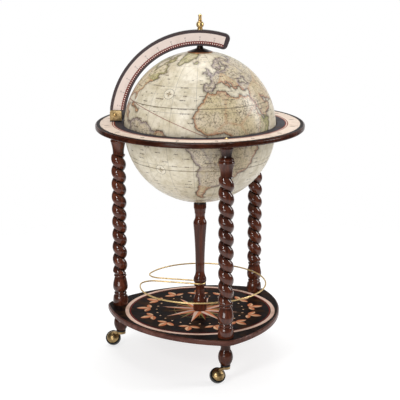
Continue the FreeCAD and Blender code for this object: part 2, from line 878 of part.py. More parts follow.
# Finial: collar, ball, and a spire of three beads; it is the pole pin's top nut
def pole_finial():
    low = meridian_top
    ball = finial_radius
    collar = 0.73 * ball
    ball_low = low + 0.12 * finial_height
    ball_high = ball_low + 1.7 * ball
    points = [(0, low), (collar, low), (collar, low + 3), (0.55 * ball, ball_low)]
    points.append((0.45 * ball, ball_high, 0.5 * ball))
    bead = (low + finial_height - ball_high - 3) / 3
    level = ball_high
    for width in (0.49, 0.45, 0.49):
        points.append((0.8 * width * ball, level + 0.06 * bead))
        points.append((0.7 * width * ball, level + bead, 0.34 * width * ball))
        level = level + bead
    points.append((0, low + finial_height))
    finial = turned(points)
    return finial.cut(rod(pole_pin_radius + hole_gap, low - 1, low + 0.4 * finial_height + seat_gap))


# Turns a caster part from its axle's own frame to the caster's frame and lifts it to the ball's middle
def on_axle(shape):
    shape.rotate(Vector(0, 0, 0), Vector(1, 0, 0), caster_tilt - 90.0)
    shape.translate(Vector(caster_trail, 0, caster_ball_radius))
    return shape


# Moves a caster part from its swivel's own frame to one of the feet
def at_caster(shape, index):
    shape.rotate(Vector(0, 0, 0), up, caster_headings[index])
    return at_leg(shape, index)


# Along the axle from the ball's middle: the hood's edge, the tyre's two flat sides, the hood's own middle
hood_edge = 0.28 * caster_ball_radius
wheel_edge = hood_edge - 2 * swing_gap
wheel_end = 0.68 * caster_ball_radius
hood_ball = (caster_hood_radius ** 2 + caster_hood_height ** 2) / (2 * caster_hood_height)
hood_middle = hood_edge + caster_hood_height - hood_ball
hood_inside = hood_edge + caster_hood_height - caster_hood_wall


def caster_socket(index):
    stem = caster_stem_radius + running_gap
    low = caster_height - caster_flange_height
    high = caster_height + caster_socket_depth
    sleeve = turned([
        (stem, low),
        (caster_flange_radius, low),
        (caster_flange_radius, caster_height),
        (stem + caster_socket_wall, caster_height),
        (stem + caster_socket_wall, high),
        (stem, high),
        (stem, low),
    ])
    return at_leg(sleeve, index)


# Space the wheel turns in, up to the hood's edge
def wheel_room():
    room = Part.makeSphere(caster_ball_radius + 2 * swing_gap)
    return on_axle(room.cut(rod(2 * caster_ball_radius, hood_edge, 3 * caster_ball_radius)))


# Hood: round cap with a boss for the axle, an arm, a collar and the swivel stem
def caster_hood(index):
    ball = caster_ball_radius
    wall = caster_hood_wall
    inner_radius = rise(hood_ball - wall, hood_edge - hood_middle)
    inner_height = caster_hood_height - wall
    cap = turned([
        (inner_radius, hood_edge),
        (caster_hood_radius, hood_edge),
        (0, hood_edge + caster_hood_height, cap_swell(caster_hood_radius, caster_hood_height)),
        (0, hood_inside),
        (inner_radius, hood_edge, cap_swell(inner_radius, inner_height)),
    ])
    boss = rod(2 * axle_radius, hood_edge, hood_inside + 0.4 * wall)
    boss = boss.cut(rod(axle_radius + hole_gap, hood_edge - 1, hood_inside - wall))
    shell = on_axle(cap.fuse(boss))
    collar_high = caster_height - caster_flange_height - swing_gap
    collar_low = collar_high - caster_collar_height
    collar = rod(caster_collar_radius, collar_low, collar_high)
    stem = rod(caster_stem_radius, collar_low, caster_height + caster_socket_depth - 1)
    under = 1.65 * ball
    corners = [
        Vector(-0.6 * caster_collar_radius, 0, collar_low),
        Vector(0.6 * caster_collar_radius, 0, collar_low),
        Vector(caster_trail - 0.4 * ball, 0, under),
        Vector(caster_trail + 0.2 * ball, 0, under),
        Vector(caster_trail - 0.1 * ball, 0, 1.97 * ball),
        Vector(0.8 * caster_collar_radius, 0, collar_high),
        Vector(-0.6 * caster_collar_radius, 0, collar_high),
    ]
    arm = Part.Face(Part.makePolygon(corners + corners[:1])).extrude(Vector(0, 0.4 * ball, 0))
    hollow = Part.makeSphere(hood_ball - 0.5 * wall, Vector(0, 0, hood_middle))
    mount = cut(joined([arm, collar]), on_axle(hollow), wheel_room())
    return at_caster(joined([shell, mount, stem]), index)


def caster_axle(index):
    high = hood_inside - caster_hood_wall - hole_gap
    low = -wheel_end - hole_gap
    pin = joined([rod(axle_radius, low - axle_head_height, high),
                  rod(axle_head_radius, low - axle_head_height, low)])
    return at_caster(on_axle(pin), index)


def caster_hub(index):
    hub = washer(caster_hub_radius - hole_gap, axle_radius + running_gap, -wheel_end, wheel_edge)
    return at_caster(on_axle(hub), index)


# Tyre: the band of the ball between two planes, outside the hub
def caster_tyre(index):
    ball = caster_ball_radius
    high = (rise(ball, wheel_edge), wheel_edge)
    low = (rise(ball, wheel_end), -wheel_end)
    edges = [
        profile_edge((caster_hub_radius, -wheel_end), low, 0),
        Part.Arc(Vector(low[0], 0, low[1]), Vector(ball * math.cos(math.radians(15)), 0, -ball * math.sin(
            math.radians(15))), Vector(high[0], 0, high[1])).toShape(),
        profile_edge(high, (caster_hub_radius, wheel_edge), 0),
        profile_edge((caster_hub_radius, wheel_edge), (caster_hub_radius, -wheel_end), 0),
    ]
    band = Part.Face(Part.Wire(edges)).revolve(Vector(0, 0, 0), up, 360)
    return at_caster(on_axle(band), index)


def write_node(name, solids):
    solids = solids if isinstance(solids, list) else [solids]
    pieces = []
    for solid in solids:
        pieces.extend(solid.Solids)
    shape = pieces[0] if len(pieces) == 1 else Part.makeCompound(pieces)
    shape.exportStep(os.path.join("parts", name + ".step"))


def main():
    os.makedirs("parts", exist_ok=True)
    write_node("shelf_board", shelf_board())
    write_node("shelf_sheet", shelf_sheet())
    leg = twist_leg()
    foot = turned_foot()
    for index in range(leg_count):
        standing = leg.copy()
        standing.rotate(Vector(0, 0, 0), up, leg_turns[index])
        write_node("leg_%d" % (index + 1), at_leg(standing, index))
        write_node("foot_%d" % (index + 1), at_leg(foot, index))
    write_node("leg_studs", leg_studs())
    write_node("column", column())
    write_node("column_screw", column_screw())
    write_node("column_washer", column_washer())
    write_node("bowl_seat", bowl_seat())
    write_node("bottle_rail", bottle_rail())
    write_node("horizon_ring", horizon_ring())
    write_node("horizon_sheet", horizon_sheet())
    write_node("ring_screws", ring_screws())
    write_node("lower_bowl", lower_bowl())
    write_node("bowl_hoop", bowl_hoop())
    write_node("bar_tray", bar_tray())
    write_node("bottle_floor", bottle_floor())
    write_node("bowl_washer", bowl_washer())
    write_node("bowl_screw", bowl_screw())
    write_node("hinge_pad", hinge_pad())
    write_node("hinge_bracket", hinge_bracket())
    write_node("bracket_screws", bracket_screws())
    write_node("hinge_pin", hinge_pin())
    write_node("caster_sockets", [caster_socket(index) for index in range(leg_count)])
    write_node("meridian_arc", meridian_arc())
    write_node("meridian_sheet_front", meridian_sheet(-1))
    write_node("meridian_sheet_back", meridian_sheet(1))
    write_node("pole_pin", pole_pin())
    write_node("pole_nut", pole_nut())
    write_node("pole_finial", pole_finial())
    write_node("upper_shell", upper_shell())
    write_node("lid_hoop", lid_hoop())
    write_node("pole_cap", pole_cap())
    write_node("pole_washer", pole_washer())
    for index in range(leg_count):
        name = "caster_%d_" % (index + 1)
        write_node(name + "hood", caster_hood(index))
        write_node(name + "axle", caster_axle(index))
        write_node(name + "hub", caster_hub(index))
        write_node(name + "tyre", caster_tyre(index))


main()
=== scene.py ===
import math
import bpy
import numpy as np
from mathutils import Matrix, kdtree


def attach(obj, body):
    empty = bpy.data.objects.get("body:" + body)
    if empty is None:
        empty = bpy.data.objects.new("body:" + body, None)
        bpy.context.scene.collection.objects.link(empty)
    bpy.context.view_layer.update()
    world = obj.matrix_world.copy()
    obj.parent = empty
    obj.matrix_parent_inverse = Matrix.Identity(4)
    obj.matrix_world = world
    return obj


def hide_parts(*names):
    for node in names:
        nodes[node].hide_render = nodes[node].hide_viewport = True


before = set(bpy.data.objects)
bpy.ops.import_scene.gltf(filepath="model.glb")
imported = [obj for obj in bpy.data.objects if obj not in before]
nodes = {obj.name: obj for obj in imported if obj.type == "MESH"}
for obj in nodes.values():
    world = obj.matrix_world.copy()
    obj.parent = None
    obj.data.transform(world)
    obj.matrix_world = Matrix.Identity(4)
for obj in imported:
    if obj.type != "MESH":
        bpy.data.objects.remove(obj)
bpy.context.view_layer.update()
print("frame loaded,", len(nodes), "nodes")


# small helpers for node trees
def newMaterial(name):
    mat = bpy.data.materials.new(name)
    mat.use_nodes = True
    return mat, mat.node_tree, mat.node_tree.nodes["Principled BSDF"]


def put(tree, value, socket):
    if isinstance(value, bpy.types.NodeSocket):
        tree.links.new(value, socket)
    else:
        socket.default_value = value


def calc(tree, how, first, second=None, third=None):
    node = tree.nodes.new("ShaderNodeMath")
    node.operation = how
    for place, value in enumerate((first, second, third)):
        if value is not None:
            put(tree, value, node.inputs[place])
    return node.outputs[0]


def times(tree, product, *factors):
    for factor in factors:
        product = calc(tree, "MULTIPLY", product, factor)
    return product


def ease(tree, value, low, high, toLow=0.0, toHigh=1.0):
    node = tree.nodes.new("ShaderNodeMapRange")
    node.interpolation_type = "SMOOTHSTEP"
    put(tree, value, node.inputs["Value"])
    for name, number in (("From Min", low), ("From Max", high), ("To Min", toLow), ("To Max", toHigh)):
        node.inputs[name].default_value = number
    return node.outputs["Result"]


# 1 within half of the centre, with a soft edge
def band(tree, value, centre, half, soft):
    away = calc(tree, "ABSOLUTE", calc(tree, "SUBTRACT", value, centre))
    return ease(tree, away, half - soft, half + soft, 1.0, 0.0)


# distance from the nearest multiple of the step
def fold(tree, value, step):
    return calc(tree, "PINGPONG", value, step / 2)


def mix(tree, share, first, second):
    node = tree.nodes.new("ShaderNodeMix")
    node.data_type = "RGBA"
    put(tree, share, node.inputs[0])
    put(tree, first, node.inputs[6])
    put(tree, second, node.inputs[7])
    return node.outputs[2]


def noise(tree, place, scale, detail, rough, distort=0.0):
    node = tree.nodes.new("ShaderNodeTexNoise")
    put(tree, place, node.inputs["Vector"])
    node.inputs["Scale"].default_value = scale
    node.inputs["Detail"].default_value = detail
    node.inputs["Roughness"].default_value = rough
    node.inputs["Distortion"].default_value = distort
    return node.outputs["Fac"]


def stretch(tree, place, scale):
    node = tree.nodes.new("ShaderNodeMapping")
    put(tree, place, node.inputs["Vector"])
    node.inputs["Scale"].default_value = scale
    return node.outputs["Vector"]


def ramp(tree, value, stops, how="LINEAR"):
    node = tree.nodes.new("ShaderNodeValToRGB")
    put(tree, value, node.inputs["Fac"])
    node.color_ramp.interpolation = how
    elements = node.color_ramp.elements
    while len(elements) < len(stops):
        elements.new(0.5)
    for element, (place, colour) in zip(elements, stops):
        element.position = place
        element.color = (*colour, 1.0)
    return node.outputs["Color"]


def bump(tree, shader, height, depth, strength):
    node = tree.nodes.new("ShaderNodeBump")
    node.inputs["Strength"].default_value = strength
    node.inputs["Distance"].default_value = depth
    put(tree, height, node.inputs["Height"])
    tree.links.new(node.outputs["Normal"], shader.inputs["Normal"])


# object coordinates as a vector, then as x, y and z
def objectPlace(tree):
    node = tree.nodes.new("ShaderNodeTexCoord")
    split = tree.nodes.new("ShaderNodeSeparateXYZ")
    tree.links.new(node.outputs["Object"], split.inputs[0])
    return node.outputs["Object"], split.outputs[0], split.outputs[1], split.outputs[2]


# distance from an axis, and the angle round it
def polarPlace(tree, across, along):
    square = calc(tree, "ADD", times(tree, across, across), times(tree, along, along))
    return calc(tree, "SQRT", square), calc(tree, "ARCTAN2", along, across)


# how far a place reaches in one direction
def calcDot(tree, place, way):
    node = tree.nodes.new("ShaderNodeVectorMath")
    node.operation = "DOT_PRODUCT"
    put(tree, place, node.inputs[0])
    node.inputs[1].default_value = way
    return node.outputs["Value"]


def readValue(tree, name):
    node = tree.nodes.new("ShaderNodeAttribute")
    node.attribute_name = name
    return node.outputs["Fac"]


# from the 0 to 255 scale of a picture to linear light
def rgb(red, green, blue):
    return tuple(((c / 255 + 0.055) / 1.055) ** 2.4 if c > 10 else c / 255 / 12.92 for c in (red, green, blue))


def rgba(red, green, blue):
    return (*rgb(red, green, blue), 1.0)


wood = {"streak": 95.0, "figure": 22.0, "pores": 300.0, "poreStretch": 2.2, "stops": (0.30, 0.47, 0.58, 0.72),
        "coatRough": 0.05, "shine": 0.04,
        "grooveFrom": 0.0125, "grooveTo": 0.0178, "grooveShare": 0.8, "grooveStainAndShade": rgba(14, 6, 4)}


# mahogany under clear lacquer, with its grain along one axis; a leg is darker in the grooves about its axis, partly
# stain and partly painted shade
def mahogany(name, grain, tones, gloss, middle=None):
    mat, tree, shader = newMaterial(name)
    place, x, y = objectPlace(tree)[:3]
    wavy = stretch(tree, place, grain)
    streak = noise(tree, wavy, wood["streak"], 6.0, 0.62, 0.8)
    figure = noise(tree, wavy, wood["figure"], 3.0, 0.5, 1.4)
    tone = calc(tree, "ADD", times(tree, streak, 0.65), times(tree, figure, 0.35))
    colour = ramp(tree, tone, [(stop, rgb(*c)) for stop, c in zip(wood["stops"], tones)])
    # painted shade with stain: darker where the leg's radius is small, in its grooves and necks
    if middle:
        across = calc(tree, "SUBTRACT", x, middle[0])
        along = calc(tree, "SUBTRACT", y, middle[1])
        reach = polarPlace(tree, across, along)[0]
        groove = ease(tree, reach, wood["grooveFrom"], wood["grooveTo"], wood["grooveShare"], 0.0)
        colour = mix(tree, groove, colour, wood["grooveStainAndShade"])
    put(tree, colour, shader.inputs["Base Color"])
    pores = noise(tree, stretch(tree, place, tuple(g * wood["poreStretch"] for g in grain)), wood["pores"], 2.0, 0.6)
    put(tree, ease(tree, pores, 0.3, 0.7, 0.20, 0.30), shader.inputs["Roughness"])
    shader.inputs["Coat Weight"].default_value = gloss
    shader.inputs["Coat Roughness"].default_value = wood["coatRough"]
    shader.inputs["Specular IOR Level"].default_value = wood["shine"]
    bump(tree, shader, pores, 0.00006, 0.4)
    return mat


metalGrain = {"cloud": 70.0, "fine": 900.0, "depth": 0.00003, "strength": 0.25}


def metal(name, light, dark, rough, spread, body=1.0):
    mat, tree, shader = newMaterial(name)
    place = objectPlace(tree)[0]
    cloud = noise(tree, place, metalGrain["cloud"], 5.0, 0.6)
    fine = noise(tree, place, metalGrain["fine"], 3.0, 0.6)
    tone = calc(tree, "ADD", times(tree, cloud, 0.8), times(tree, fine, 0.2))
    put(tree, ramp(tree, tone, [(0.32, dark), (0.60, light)]), shader.inputs["Base Color"])
    shader.inputs["Metallic"].default_value = body
    put(tree, ease(tree, tone, 0.3, 0.7, rough + spread, rough), shader.inputs["Roughness"])
    bump(tree, shader, fine, metalGrain["depth"], metalGrain["strength"])
    return mat


# cap at the pole: dark bronze, worn to copper along its edge
def capMetal():
    look = {"dark": rgba(26, 19, 16), "worn": rgba(58, 38, 28), "copper": rgba(156, 106, 68),
            "copperFrom": 0.0296, "copperFull": 0.0334, "wander": 0.003, "body": 0.9}
    mat, tree, shader = newMaterial("dark bronze")
    place, x, y = objectPlace(tree)[:3]
    reach = polarPlace(tree, x, y)[0]
    cloud = noise(tree, place, metalGrain["cloud"], 5.0, 0.6)
    colour = mix(tree, ease(tree, cloud, 0.40, 0.70), look["dark"], look["worn"])
    edge = calc(tree, "ADD", reach, times(tree, cloud, look["wander"]))
    colour = mix(tree, ease(tree, edge, look["copperFrom"], look["copperFull"]), colour, look["copper"])
    put(tree, colour, shader.inputs["Base Color"])
    shader.inputs["Metallic"].default_value = look["body"]
    put(tree, ease(tree, cloud, 0.3, 0.7, 0.42, 0.30), shader.inputs["Roughness"])
    fine = noise(tree, place, metalGrain["fine"], 3.0, 0.6)
    bump(tree, shader, fine, metalGrain["depth"], metalGrain["strength"])
    return mat


# rubber, plastic, lacquer and lining: two like tones in clouds of a size
def plain(name, light, dark, rough, size, depth, shine=0.5):
    mat, tree, shader = newMaterial(name)
    place = objectPlace(tree)[0]
    cloud = noise(tree, place, size, 5.0, 0.6)
    put(tree, ramp(tree, cloud, [(0.35, dark), (0.65, light)]), shader.inputs["Base Color"])
    put(tree, ease(tree, cloud, 0.3, 0.7, rough + 0.08, rough - 0.05), shader.inputs["Roughness"])
    shader.inputs["Specular IOR Level"].default_value = shine
    bump(tree, shader, noise(tree, place, 12 * size, 2.0, 0.6), depth, 0.5)
    return mat


paper = {"stain": 24.0, "fibre": 700.0, "brown": rgba(120, 84, 52), "coatRough": 0.2}


# printed paper: a colour socket, aged by stains, under varnish where it has a coat
def printed(tree, shader, place, colour, rough, age, shine, coat):
    stain = noise(tree, place, paper["stain"], 6.0, 0.62)
    fibre = noise(tree, place, paper["fibre"], 2.0, 0.5)
    aged = mix(tree, ease(tree, stain, 0.45, 0.75, 0.0, age), colour, paper["brown"])
    put(tree, aged, shader.inputs["Base Color"])
    put(tree, ease(tree, stain, 0.3, 0.7, rough - 0.06, rough + 0.10), shader.inputs["Roughness"])
    shader.inputs["Specular IOR Level"].default_value = shine
    shader.inputs["Coat Weight"].default_value = coat
    shader.inputs["Coat Roughness"].default_value = paper["coatRough"]
    bump(tree, shader, fibre, 0.00004, 0.3)


# strokes of a scale at each step of degrees, or a pair of strokes beside it
def scaleTicks(tree, reach, angle, step, half, middle, halfLength, beside=0.0):
    soft = 0.0002
    arc = times(tree, fold(tree, angle, math.radians(step)), reach)
    return times(tree, band(tree, arc, beside, half, soft), band(tree, reach, middle, halfLength, soft))


# ring sheet: charcoal inside, a red band split by cream, a cream band of marks, black outside
def ringPrint():
    look = {"charcoal": rgba(56, 54, 60), "cream": rgba(226, 208, 192), "red": rgba(128, 52, 44),
            "black": rgba(28, 25, 27), "redFrom": 0.2241, "splitAt": 0.2280, "creamFrom": 0.2316, "blackFrom": 0.2630,
            "tickStep": 2.5, "longStep": 10, "windStep": 22.5, "windsAt": 0.2465, "slim": 0.55, "ink": 0.85}
    mat, tree, shader = newMaterial("ring print")
    place, x, y = objectPlace(tree)[:3]
    reach, angle = polarPlace(tree, x, y)
    soft = 0.0003
    colour = look["charcoal"]
    for start, tone in (("redFrom", "red"), ("creamFrom", "cream"), ("blackFrom", "black")):
        colour = mix(tree, ease(tree, reach, look[start] - soft, look[start] + soft), colour, look[tone])
    colour = mix(tree, band(tree, reach, look["splitAt"], 0.0010, soft), colour, look["cream"])
    # degree ticks on the outer edge of the cream band
    ticks = scaleTicks(tree, reach, angle, look["tickStep"], half=0.00035, middle=0.2606, halfLength=0.0022)
    longTicks = scaleTicks(tree, reach, angle, look["longStep"], half=0.0005, middle=0.2585, halfLength=0.0043)
    ticks = calc(tree, "MAXIMUM", ticks, longTicks)
    # a hollow lozenge at each of the sixteen winds
    arc = times(tree, fold(tree, angle, math.radians(look["windStep"])), reach)
    out = calc(tree, "ABSOLUTE", calc(tree, "SUBTRACT", reach, look["windsAt"]))
    lozenge = calc(tree, "ADD", arc, times(tree, out, look["slim"]))
    hollow = ease(tree, lozenge, 0.0018, 0.0024, 0.4, 1.0)
    lozenge = times(tree, hollow, ease(tree, lozenge, 0.0044, 0.0050, 1.0, 0.0))
    ticks = calc(tree, "MAXIMUM", ticks, times(tree, lozenge, 0.8))
    colour = mix(tree, times(tree, ticks, look["ink"]), colour, look["black"])
    printed(tree, shader, place, colour, rough=0.34, age=0.30, shine=0.01, coat=0.0)
    return mat


# meridian sheet, in polar places about its own centre
def meridianPrint():
    look = {"middle": 0.6465, "turn": math.radians(8.5), "last": math.radians(107.0),
            "charcoal": rgba(70, 59, 62), "cream": rgba(241, 224, 215), "red": rgba(122, 38, 36),
            "dot": rgba(242, 232, 218), "ink": rgba(104, 96, 94),
            "creamAt": 0.2208, "lineAt": 0.2094, "redAt": 0.2062, "dotStep": 1.6, "tickStep": 2, "longStep": 10}
    mat, tree, shader = newMaterial("meridian print")
    place, x, y, z = objectPlace(tree)
    up = calc(tree, "SUBTRACT", z, look["middle"])
    across = times(tree, x, -math.cos(look["turn"]))
    across = calc(tree, "MULTIPLY_ADD", y, -math.sin(look["turn"]), across)
    reach, angle = polarPlace(tree, across, up)
    soft = 0.0003
    last = look["last"]
    colour = mix(tree, band(tree, reach, look["creamAt"], 0.0105, soft), look["charcoal"], look["cream"])
    colour = mix(tree, band(tree, reach, look["lineAt"], 0.0008, soft), colour, look["red"])
    colour = mix(tree, band(tree, reach, look["redAt"], 0.0024, soft), colour, look["red"])
    arc = times(tree, fold(tree, angle, math.radians(look["dotStep"])), reach)
    spot = polarPlace(tree, arc, calc(tree, "SUBTRACT", reach, look["redAt"]))[0]
    colour = mix(tree, ease(tree, spot, 0.0012, 0.0016, 1.0, 0.0), colour, look["dot"])
    colour = mix(tree, ease(tree, angle, last - 0.001, last + 0.001), colour, look["charcoal"])
    # scale: a tick each two degrees, a longer one each ten with a pair of short strokes over it
    ticks = scaleTicks(tree, reach, angle, look["tickStep"], half=0.0003, middle=0.2120, halfLength=0.0014)
    longTicks = scaleTicks(tree, reach, angle, look["longStep"], half=0.0006, middle=0.2136, halfLength=0.0030)
    pairs = scaleTicks(tree, reach, angle, look["longStep"], half=0.0005, middle=0.2206, halfLength=0.0018,
                       beside=0.0012)
    ticks = calc(tree, "MAXIMUM", calc(tree, "MAXIMUM", ticks, longTicks), pairs)
    ticks = times(tree, ticks, ease(tree, angle, last - 0.012, last - 0.010, 1.0, 0.0))
    colour = mix(tree, times(tree, ticks, 0.8), colour, look["ink"])
    printed(tree, shader, place, colour, rough=0.40, age=0.15, shine=0.10, coat=0.05)
    return mat


# points of a compass rose: each half of a point has its own colour
def rosePoints(tree, reach, angle, colour, count, turn, length, width, left, right):
    step = 2 * math.pi / count
    turned = calc(tree, "ADD", angle, turn)
    off = calc(tree, "WRAP", turned, step / 2, -step / 2)
    across = times(tree, calc(tree, "SINE", off), reach)
    room = calc(tree, "MULTIPLY_ADD", reach, -width / length, width)
    inside = calc(tree, "SUBTRACT", room, calc(tree, "ABSOLUTE", across))
    side = ease(tree, across, -0.0003, 0.0003)
    return mix(tree, ease(tree, inside, 0.0, 0.0006), colour, mix(tree, side, left, right))


# one leaf of a sprig, leaning from the sprig's own place
def sprigLeaf(tree, look, colour, side, out, lean, long, wide):
    along = calc(tree, "MULTIPLY_ADD", out, math.sin(lean), -long)
    along = calc(tree, "MULTIPLY_ADD", side, math.cos(lean), along)
    across = calc(tree, "SUBTRACT", times(tree, out, math.cos(lean)), times(tree, side, math.sin(lean)))
    width = calc(tree, "ABSOLUTE", across)
    taper = calc(tree, "SUBTRACT", 1.0, calc(tree, "POWER", calc(tree, "DIVIDE", along, long), 2.0))
    inside = calc(tree, "SUBTRACT", times(tree, taper, wide), width)
    tint = mix(tree, ease(tree, across, -0.004, 0.005), look["leaf"], look["pale"])
    tint = mix(tree, ease(tree, width, 0.0003, 0.0008, 0.7, 0.0), tint, look["red"])
    tint = mix(tree, ease(tree, inside, 0.0006, 0.0024, 0.8, 0.0), tint, look["rust"])
    return mix(tree, ease(tree, inside, 0.0, 0.0008), colour, tint)


# shelf sheet: dark field, cream ring, sprigs of leaves and a compass rose
def shelfPrint():
    look = {"field": rgba(17, 11, 11), "mottle": rgba(36, 22, 20), "ring": rgba(240, 204, 186),
            "red": rgba(128, 40, 38), "leaf": rgba(222, 134, 92), "pale": rgba(244, 200, 160),
            "olive": rgba(136, 126, 78), "rust": rgba(120, 54, 34),
            "ringAt": 0.1980, "redAt": 0.1895, "oliveAt": 0.0700,
            "sprigs": 13, "sprigTurn": 0.10, "sprigAt": 0.1360, "sprigSpread": 0.150, "dots": 28, "dotsAt": 0.118,
            # lean, half length and half width of each leaf
            "leaves": ((24, 0.0175, 0.0085), (160, 0.0160, 0.0078), (86, 0.0195, 0.0095)),
            # count, turn, length and width of points, and their two colours
            "rose": ((16, 0.196, 0.068, 0.010, "red", "olive"), (8, 0.393, 0.092, 0.013, "olive", "red"),
                     (8, 0.0, 0.108, 0.015, "ring", "leaf"))}
    mat, tree, shader = newMaterial("shelf print")
    place, x, y = objectPlace(tree)[:3]
    reach, angle = polarPlace(tree, x, y)
    soft = 0.0004
    mottled = noise(tree, place, 60.0, 5.0, 0.6)
    colour = mix(tree, ease(tree, mottled, 0.4, 0.7), look["field"], look["mottle"])
    colour = mix(tree, band(tree, reach, look["ringAt"], 0.0052, soft), colour, look["ring"])
    colour = mix(tree, band(tree, reach, look["redAt"], 0.0012, soft), colour, look["red"])
    step = 2 * math.pi / look["sprigs"]
    off = calc(tree, "WRAP", calc(tree, "ADD", angle, look["sprigTurn"]), step / 2, -step / 2)
    side = times(tree, off, look["sprigSpread"])
    out = calc(tree, "SUBTRACT", reach, look["sprigAt"])
    for lean, long, wide in look["leaves"]:
        colour = sprigLeaf(tree, look, colour, side, out, math.radians(lean), long, wide)
    # small dots between sprigs and rose
    arc = times(tree, fold(tree, angle, 2 * math.pi / look["dots"]), reach)
    spot = polarPlace(tree, arc, calc(tree, "SUBTRACT", reach, look["dotsAt"]))[0]
    colour = mix(tree, ease(tree, spot, 0.0022, 0.0028, 1.0, 0.0), colour, look["pale"])
    colour = mix(tree, band(tree, reach, look["oliveAt"], 0.0007, soft), colour, look["olive"])
    for count, turn, length, width, left, right in look["rose"]:
        colour = rosePoints(tree, reach, angle, colour, count, turn, length, width, look[left], look[right])
    printed(tree, shader, place, colour, rough=0.42, age=0.30, shine=0.01, coat=0.0)
    return mat
